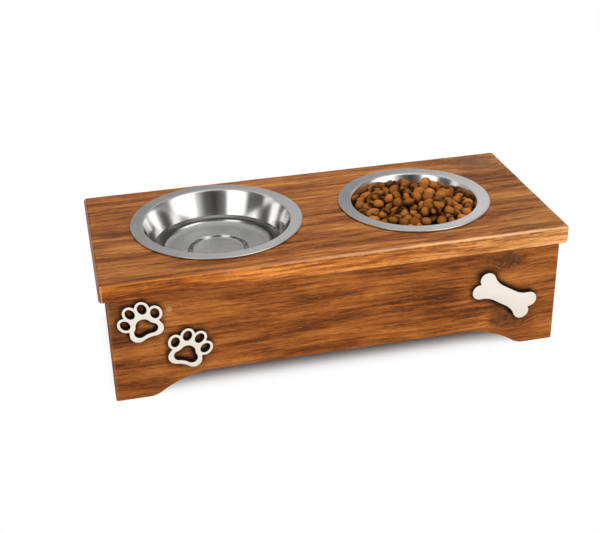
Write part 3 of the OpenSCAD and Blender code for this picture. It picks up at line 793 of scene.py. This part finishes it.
# Settles lumps in the bowl: each sinks a little every round, lumps that overlap push each other
# apart, and the wall and floor push back. Distances are between round lumps of the mean size.
def settleFood(bowl):
    rng = np.random.default_rng(food["seed"])
    count = food["count"]
    reach = np.prod(food["halfSizes"]) ** (1 / 3) * food["packing"]
    lean, bend, floorMiddle = bowlProfile(bowl, bowlShape)[:3]
    turn, out = rng.uniform(0, 2 * math.pi, count), np.sqrt(rng.uniform(0, 1, count)) * bowl["flatFrom"] * 0.8
    spots = np.stack([out * np.cos(turn), out * np.sin(turn), rng.uniform(-20, 45, count)], 1)
    floorZ = food["bed"] - reach * 0.4
    for k in range(food["rounds"]):
        spots[:, 2] -= food["sink"][k >= food["rounds"] * 0.8]
        gap = spots[:, None, :] - spots[None, :, :]
        far = np.sqrt((gap ** 2).sum(-1)) + np.eye(count) * 1e3
        push = np.clip(2 * reach - far, 0, None) / far
        spots += (gap * push[..., None]).sum(1) * food["push"]
        spots[:, 2] = np.maximum(spots[:, 2], floorZ + reach)
        spots[:, :2] *= 1 - food["gather"]
        radius = np.linalg.norm(spots[:, :2], axis=1)
        wall = bend[0] - bowlShape["bendRound"] + (np.minimum(spots[:, 2], 0) + 1.3) * math.tan(lean) \
            - reach / math.cos(lean)
        room = bowlShape["floorRound"] - reach
        corner = floorMiddle[0] + np.sqrt(room ** 2 - np.clip(floorMiddle[1] - spots[:, 2], 0, room) ** 2)
        limit = np.where(spots[:, 2] < floorMiddle[1], np.minimum(wall, corner), wall)
        spots[:, :2] *= np.minimum(1, limit / np.maximum(radius, 1e-6))[:, None]
    return spots, rng


# Distance from every lump's points to the nearest middle of another lump
def nearestOther(points, spots):
    flat = points.reshape(-1, 3)
    squares = (flat ** 2).sum(1)[:, None] + (spots ** 2).sum(1) - 2 * flat @ spots.T
    own = np.repeat(np.arange(len(spots)), points.shape[1])
    squares[np.arange(len(flat)), own] = np.inf
    return np.sqrt(squares.min(1).clip(0))


# Lumps: round balls squashed on three axes, with broad dents from waves over their surface. Some
# have a smaller one grown to their side. No top is above a dome, and no point is past the wall.
# They are painted with shade below, and where another one is close. A bed painted fully with that shade
# closes the gaps between them.
def buildFood(material):
    bowl = bowls["right"]
    spots, rng = settleFood(bowl)
    twins = rng.choice(len(spots), int(len(spots) * food["twins"]), replace=False)
    aside = unit(rng.standard_normal((len(twins), 3)) * [1, 1, 0.5])
    spots = np.concatenate([spots, spots[twins] + aside * food["halfSizes"][0] * food["twinAside"]])
    count = len(spots)
    lat = np.linspace(0, math.pi, food["rings"] + 1)
    lon = np.arange(food["spokes"]) * 2 * math.pi / food["spokes"]
    ball = np.stack([np.sin(lat)[:, None] * np.cos(lon), np.sin(lat)[:, None] * np.sin(lon),
                     np.cos(lat)[:, None] + 0 * lon], -1).reshape(-1, 3)
    spread = food["spread"] * rng.standard_normal((count, 3)).clip(-1.6, 1.6)
    sizes = np.array(food["halfSizes"]) * (1 + spread)
    sizes[-len(twins):] *= food["twinSize"]
    lumpy = np.ones((count, len(ball)))
    for k, dent in enumerate(food["dents"]):
        axis = unit(rng.standard_normal((count, 3)))
        lumpy += dent * np.sin((axis @ ball.T) * (2.2 + 0.9 * k) + rng.uniform(0, 6, count)[:, None])
    shapes = ball[None] * lumpy[..., None] * sizes[:, None, :]
    first, second = rng.standard_normal((2, count, 3))
    first = unit(first)
    second = unit(second - (first * second).sum(1)[:, None] * first)
    axes = np.stack([first, second, np.cross(first, second)], 1)
    points = np.einsum("nvk,nkc->nvc", shapes, axes)
    dome = food["highest"] - food["edgeDrop"] * ease(np.hypot(spots[:, 0], spots[:, 1]), *food["dropOver"])
    spots[:, 2] -= (points[..., 2].max(1) + spots[:, 2] - dome).clip(0)
    # painted shade on each lump's underside and where another lump is close
    hollow = 1 - ease(points[..., 2] / food["halfSizes"][1], *food["shadeBelowFrom"]).ravel()
    points = points + spots[:, None, :]
    crowdShade = 1 - ease(nearestOther(points, spots) / food["halfSizes"][1], *food["crowdShadeFrom"])
    hollow = np.maximum(hollow, crowdShade)
    path = innerPath(bowl, bowlShape)[-36:]     # from the foot of the wall up
    inner = np.interp(points[..., 2], path[:, 1], path[:, 0]) - food["wallGap"]
    radius = np.hypot(points[..., 0], points[..., 1])
    points[..., :2] *= np.minimum(1, inner / np.maximum(radius, 1e-6))[..., None]
    points = points + [bowl["x"], bowl["y"], bowl["top"]]
    faces = gridFaces(food["rings"] + 1, food["spokes"], False, True)
    faces = (faces[None] + np.arange(count)[:, None, None] * len(ball)).reshape(-1, 4)
    lump = np.repeat(rng.uniform(0, 1, count), len(ball))
    low, high = food["bedRound"]
    bed, under = food["bed"], food["bed"] - food["bedThick"]
    bedPath = np.array([[0, under], [low, under], [high, bed - 1], [high - 3, bed], [0, bed]])
    bedPoints, bedFaces = revolve(bedPath, bowl, 48)
    faces = np.concatenate([faces, bedFaces + count * len(ball)])
    points = np.concatenate([points.reshape(-1, 3), bedPoints])
    lump = np.concatenate([lump, np.zeros(len(bedPoints))])
    # the bed takes full painted shade
    hollow = np.concatenate([hollow, np.ones(len(bedPoints))])
    return makePiece("dry_food", points, faces, material, bowl["node"],
                     values={"lump": lump, "hollow": hollow}, sharpAngle=75)


# Badges: the CAD outline with its sharp rim eased

badge = {"ease": 0.22, "face": (0.90, 0.83, 0.75), "grain": (0.80, 0.69, 0.56),
         "burnt": (0.020, 0.009, 0.004), "charred": (0.006, 0.003, 0.002),
         # the sheet of painted shade and painted shadow round each badge, and its near black colour
         "shadeSheetGap": 0.04, "shadeSheetMargin": 3.6, "shadeSheetStep": 0.8, "shadowShift": (-0.9, 0.3),
         "shadeBells": ((0.8, 1.3), (0.7, 4.2)), "shadeOutside": 0.36, "paintedShadeColour": (0.012, 0.004, 0.001)}


def buildBadge(node, name, material):
    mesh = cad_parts[node].data.copy()
    work = bmesh.new()
    work.from_mesh(mesh)
    bmesh.ops.remove_doubles(work, verts=work.verts, dist=1e-6)
    bmesh.ops.dissolve_limit(work, angle_limit=math.radians(1), verts=work.verts, edges=work.edges)
    frontY = min(v.co.y for v in work.verts)
    rim = [e for e in work.edges if len(e.link_faces) == 2 and e.calc_face_angle(0) > math.radians(40)
           and all(abs(v.co.y - frontY) < 1e-5 for v in e.verts)]
    bmesh.ops.bevel(work, geom=rim, offset=badge["ease"] / perMetre, segments=2, profile=0.5, affect="EDGES")
    work.to_mesh(mesh)
    work.free()
    finishMesh(mesh, 35)
    return placePiece(name, mesh, material, "stand", [node])


# Both ends of every edge of a badge's outline and holes, seen from the front: these are the edges
# that only one of the front's triangles has
def outlineEdges(node):
    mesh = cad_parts[node].data
    mesh.calc_loop_triangles()
    spots, corners = np.empty(len(mesh.vertices) * 3), np.empty(len(mesh.loop_triangles) * 3, np.int32)
    mesh.vertices.foreach_get("co", spots)
    mesh.loop_triangles.foreach_get("vertices", corners)
    kept, same = np.unique((spots.reshape(-1, 3) * perMetre).round(3), axis=0, return_inverse=True)
    triangles = same.ravel()[corners].reshape(-1, 3)
    front = triangles[(kept[triangles, 1] < kept[:, 1].min() + 0.01).all(1)]
    edges = np.sort(front[:, [0, 1, 1, 2, 2, 0]].reshape(-1, 2), axis=1)
    edges, times = np.unique(edges, axis=0, return_counts=True)
    return kept[edges[times == 1]][:, :, [0, 2]]


# Painted shade and painted shadow round a badge and in its holes: a level grid just in front of the panel.
# Its strength falls with the distance from the nearest edge, as a narrow bell plus a wide one, is less
# outside the badge than in its holes, and eases out at the grid's own rim. The edges are shifted left and up,
# so the painted shadow falls that way.
def buildPaintedShade(node, name, material):
    low, high = nodeBox(node)
    panelTop = nodeBox("front_panel")[1][2]
    margin, step = badge["shadeSheetMargin"], badge["shadeSheetStep"]
    xs = np.arange(low[0] - margin, high[0] + margin, step)
    zs = np.arange(low[2] - margin, min(high[2] + margin, panelTop - 0.1), step)
    x, z = np.meshgrid(xs, zs, indexing="ij")
    ends = outlineEdges(node) + np.array(badge["shadowShift"])
    start, along = ends[:, 0], ends[:, 1] - ends[:, 0]
    away = np.stack([x, z], -1).reshape(-1, 1, 2) - start
    share = ((away * along).sum(-1) / (along ** 2).sum(-1)).clip(0, 1)
    far = np.linalg.norm(away - share[..., None] * along, axis=-1).min(1)
    soot = sum(strength * np.exp(-(far / width) ** 2) for strength, width in badge["shadeBells"])
    inside = np.minimum(np.minimum(x - xs[0], xs[-1] - x), z - zs[0]).ravel()
    middle, half = (low + high) / 2, (high - low) / 2
    outside = ease(np.hypot((x - middle[0]) / half[0], (z - middle[2]) / half[2]).ravel(), 0.78, 0.95)
    soot = soot.clip(0, 1) * ease(inside, 0, margin * 0.7) * (1 - outside * (1 - badge["shadeOutside"]))
    sheet = np.stack([x.ravel(), np.full(x.size, high[1] - badge["shadeSheetGap"]), z.ravel()], -1)
    return makePiece(name, sheet, gridFaces(len(xs), len(zs)), material, "stand", values={"soot": soot})


# Near black painted shade; its strength is kept at the sheet's points and varied a little by noise
def paintedShadeFinish(name):
    f = Finish(name)
    x, y, z = f.place()
    cloud = f.noise(x * 0.12, y, z * 0.5, 3.0)
    return f.principled(Base_Color=(*badge["paintedShadeColour"], 1), Roughness=0.7, Specular_IOR_Level=0.1,
                        Alpha=f.kept("soot") * (cloud * 0.7 + 0.6))


# Making the object

badge["frontY"] = nodeBox("bone_badge")[0][1]
topMaterial = stainedWood("walnut stained top", topWood)
panelMaterial = stainedWood("walnut stained panels", panelWood)
endWood = {**panelWood, "knots": [], "spots": [], "tints": [], "strips": []}
endMaterial = stainedWood("walnut stained ends", endWood, turned=True)
plainMaterial = stainedWood("bare pine", hiddenWood)
badgeMaterial = badgeFinish("laser cut plywood", badge)
# painted shade and painted shadow round the badges
paintedShadeMaterial = paintedShadeFinish("painted badge shade")
zincMaterial = zincFinish("zinc plate")
print("wood, plywood and zinc finishes made")

buildTopBoard(topMaterial)
buildLongPanel("front_panel", "walnut_front", -1, panelMaterial)
buildLongPanel("back_panel", "walnut_back", 1, panelMaterial)
print("top board and long panels made")

# The lower inside colours are painted shade and the dark ends a painted reflection; the rim's two colours are
# its painted lit and shaded sides
steel = {"inside": (0.80, 0.79, 0.78), "deep": (0.72, 0.71, 0.70),
         "ends": (0.12, 0.115, 0.11), "floor": (0.52, 0.515, 0.51), "rim": (0.66, 0.655, 0.65),
         "rimPaintedShade": (0.38, 0.375, 0.37), "bead": (0.48, 0.48, 0.47), "dull": (0.62, 0.61, 0.60),
         "paintedLightFrom": (0.85, -0.53), "rimRough": 0.36, "wallRough": 0.13,
         "deepFrom": (25.0, 31.0), "floorFrom": (34.0, 36.2), "darkReflectionFrom": (0.5, 0.85)}
for side, bowl in bowls.items():
    buildBowl(side, side + "_steel_bowl", steelFinish(side + " bowl steel", {**steel, **bowl}))
buildWater(waterFinish("clear water"))
print("bowls and water made")

food["middle"], food["top"] = (bowls["right"]["x"], bowls["right"]["y"]), bowls["right"]["top"]
buildFood(kibbleFinish("baked dry food", food))
print("dry food settled:", food["count"], "lumps")

for name in ("upper_paw", "lower_paw", "bone"):
    buildBadge(name + "_badge", name, badgeMaterial)
    # a sheet of painted shade and painted shadow round each badge
    buildPaintedShade(name + "_badge", name + "_stain", paintedShadeMaterial)

for node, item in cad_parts.items():
    if node.endswith("_side_panel"):
        finish = endMaterial
    elif node.endswith(("_block", "_batten")):
        finish = plainMaterial
    elif node.endswith("_screws"):
        finish = zincMaterial
    else:
        continue
    item.data.materials.clear()
    item.data.materials.append(finish)
print("badges made and hidden pieces finished")


# Studio: pale floor, white surroundings, soft lamps, and a ring round the set that only gloss and
# water can see. Its stops are turns from the front, in degrees towards the right, and brightness.

studio = {
    "floorSize": 8000.0, "floorColour": (0.93, 0.93, 0.93), "floorGlow": 0.02,
    "fadeFrom": 37.0, "fadeOver": 40.0, "worldStrength": 0.46,
    "lamps": [
        {"name": "key lamp", "at": (600, -1100, 1600), "size": 1000, "power": 15.0},
        {"name": "fill lamp", "at": (-1100, -1100, 1100), "size": 1200, "power": 6.0},
        {"name": "top lamp", "at": (0, 300, 1800), "size": 1400, "power": 9.0},
    ],
    "ring": {"radius": 1700.0, "from": 15.0, "to": 1500.0, "fadeFrom": 1000.0, "above": 0.62},
    "ringStops": [
        (-180, 0.55), (-112, 0.50), (-104, 1.0), (-95, 1.0), (-89, 0.10), (-65, 0.14), (-58, 1.5), (-33, 1.8),
        (-27, 0.20), (-10, 0.04), (8, 0.14), (20, 0.8), (28, 2.0), (60, 1.8), (72, 0.30), (104, 0.22),
        (116, 0.85), (126, 0.85), (138, 0.52), (180, 0.55)],
}


# The floor keeps the shadow under the feeder. A camera ray sees it fade to white, from a little
# inside the footprint outwards.
def buildFloor():
    half = studio["floorSize"] / 2
    points = np.array([[-half, -half, 0], [half, -half, 0], [half, half, 0], [-half, half, 0]])
    mesh = meshOf("floor", points, np.array([[0, 1, 2, 3]]))
    f = Finish("pale floor")
    seen = f.node("ShaderNodeLightPath", out="Is Camera Ray")
    x, y = f.place()[:2]
    start = np.array(cadBounds[1]) * perMetre - studio["fadeFrom"]
    beyond = (x.size() - start[0]).most(0.0).reach((y.size() - start[1]).most(0.0))
    fade = beyond.ease(0.0, studio["fadeOver"]) * (1 - studio["floorGlow"]) + studio["floorGlow"]
    mottle = f.noise(x * 0.01, y * 0.01, 0.0, 2.0)
    matt = f.node("ShaderNodeBsdfPrincipled", sockets={
        "Base Color": f.mix(mottle * 0.3, studio["floorColour"], (0.9, 0.9, 0.9)),
        "Roughness": 1.0, "Specular IOR Level": 0.0})
    white = f.node("ShaderNodeEmission", sockets={"Strength": 1.0})
    both = f.node("ShaderNodeMixShader", sockets={0: seen * fade, 1: matt, 2: white})
    mesh.materials.append(f.show(both))
    intoScene("floor", mesh)


# White where a camera, glossy or transmission ray looks, and a softer level for light
def buildWorld():
    world = bpy.data.worlds.new("studio")
    bpy.context.scene.world = world
    f = Finish("studio", world)
    camera, glossy, through = (f.node("ShaderNodeLightPath", out="Is " + ray + " Ray")
                               for ray in ("Camera", "Glossy", "Transmission"))
    soft, white = (f.node("ShaderNodeBackground", sockets={"Color": (1, 1, 1, 1), "Strength": level})
                   for level in (studio["worldStrength"], 1.0))
    f.show(f.node("ShaderNodeMixShader", sockets={0: camera.most(glossy).most(through), 1: soft, 2: white}))


def buildLamps():
    for lamp in studio["lamps"]:
        light = bpy.data.lights.new(lamp["name"], "AREA")
        light.shape = "DISK"
        light.size = lamp["size"] / perMetre
        light.energy = lamp["power"]
        spot = Vector(lamp["at"]) / perMetre
        aim = (-spot).to_track_quat("-Z", "Y").to_matrix().to_4x4()
        intoScene(lamp["name"], light).matrix_world = Matrix.Translation(spot) @ aim


# The ring: a dome about the set, seen only in shiny surfaces and through water
def buildRing():
    spec = studio["ring"]
    turn = np.arange(96) * 2 * math.pi / 96
    rise = np.radians(np.linspace(0, 90, 16))[:, None]
    radius = spec["radius"] * np.cos(rise)
    grid = np.stack([radius * np.sin(turn), -radius * np.cos(turn),
                     spec["from"] + spec["radius"] * np.sin(rise) + 0 * turn], -1)
    mesh = meshOf("studio_ring", grid.reshape(-1, 3), gridFaces(16, 96, False, True))
    f = Finish("studio ring")
    x, y, z = f.place()
    stops = [(at / 360 + 0.5, (level, level * 0.985, level * 0.965)) for at, level in studio["ringStops"]]
    around = f.ramp(x.turn(y * -1) + 0.5, stops)
    colour = f.mix(z.ease(spec["fadeFrom"], spec["to"]), around, (spec["above"],) * 3)
    mesh.materials.append(f.principled(Base_Color=(0, 0, 0, 1), Specular_IOR_Level=0.0,
                                       Emission_Color=colour, Emission_Strength=1.0))
    item = intoScene("studio_ring", mesh)
    item.visible_camera = item.visible_diffuse = item.visible_shadow = False


# Camera: its direction and place were solved from the board's corners and feet
view = {"azimuth": -12.42, "elevation": 27.73, "roll": -1.52, "lens": 66.69, "sensor": 36.0,
        "shift": (-0.0008, 0.0008), "at": (-223.8, -935.2, 566.1)}


def buildCamera():
    az, el, roll = (math.radians(view[key]) for key in ("azimuth", "elevation", "roll"))
    back = Vector((math.sin(az) * math.cos(el), -math.cos(az) * math.cos(el), math.sin(el)))
    right = (-back).cross(Vector((0, 0, 1))).normalized()
    up = right.cross(-back)
    turnedRight = right * math.cos(roll) + up * math.sin(roll)
    turnedUp = up * math.cos(roll) - right * math.sin(roll)
    lens = bpy.data.cameras.new("camera")
    lens.sensor_fit, lens.sensor_width, lens.lens = "HORIZONTAL", view["sensor"], view["lens"]
    lens.shift_x, lens.shift_y = view["shift"]
    lens.clip_start, lens.clip_end = 0.05, 50
    camera = intoScene("camera", lens)
    camera.matrix_world = Matrix.Translation(Vector(view["at"]) / perMetre) \
        @ Matrix((turnedRight, turnedUp, back)).transposed().to_4x4()
    bpy.context.scene.camera = camera


buildFloor()
buildWorld()
buildLamps()
buildRing()
buildCamera()
bpy.context.scene.view_settings.view_transform = "Standard"
print("studio and camera made")
